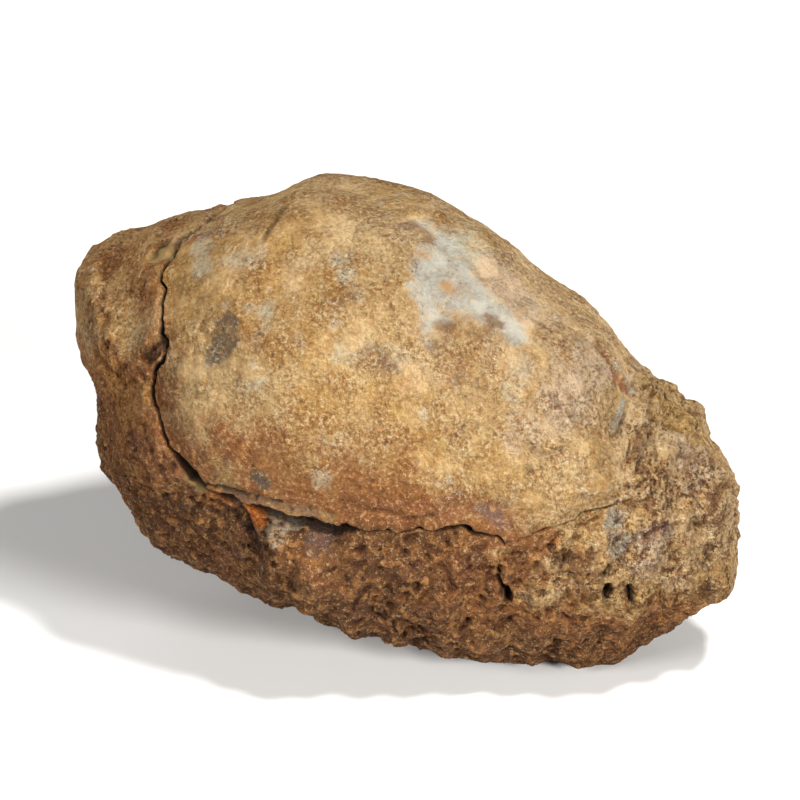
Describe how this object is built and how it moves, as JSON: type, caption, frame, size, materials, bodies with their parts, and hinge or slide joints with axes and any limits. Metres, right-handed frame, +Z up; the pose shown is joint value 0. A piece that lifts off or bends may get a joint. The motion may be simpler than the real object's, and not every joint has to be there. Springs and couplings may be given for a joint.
{
  "type": "fossil trilobite",
  "caption": "Rolled-up trilobite fossil of rough ochre stone: a smooth domed front shield closed on a ribbed body, with an open crack round its margin.",
  "frame": {"origin": "centre of the bounding box at the worn spot that it rests on", "axes": "+X from the front margin to the rolled thorax, the long way; +Z up through the dome; -Y the side with the gaping crack"},
  "size_m": [0.0644, 0.0388, 0.045],
  "materials": {
    "stone": "dry weathered stone, rough and granular"
  },
  "bodies": {
    "root": {"trilobite": "stone"}
  },
  "joints": []
}
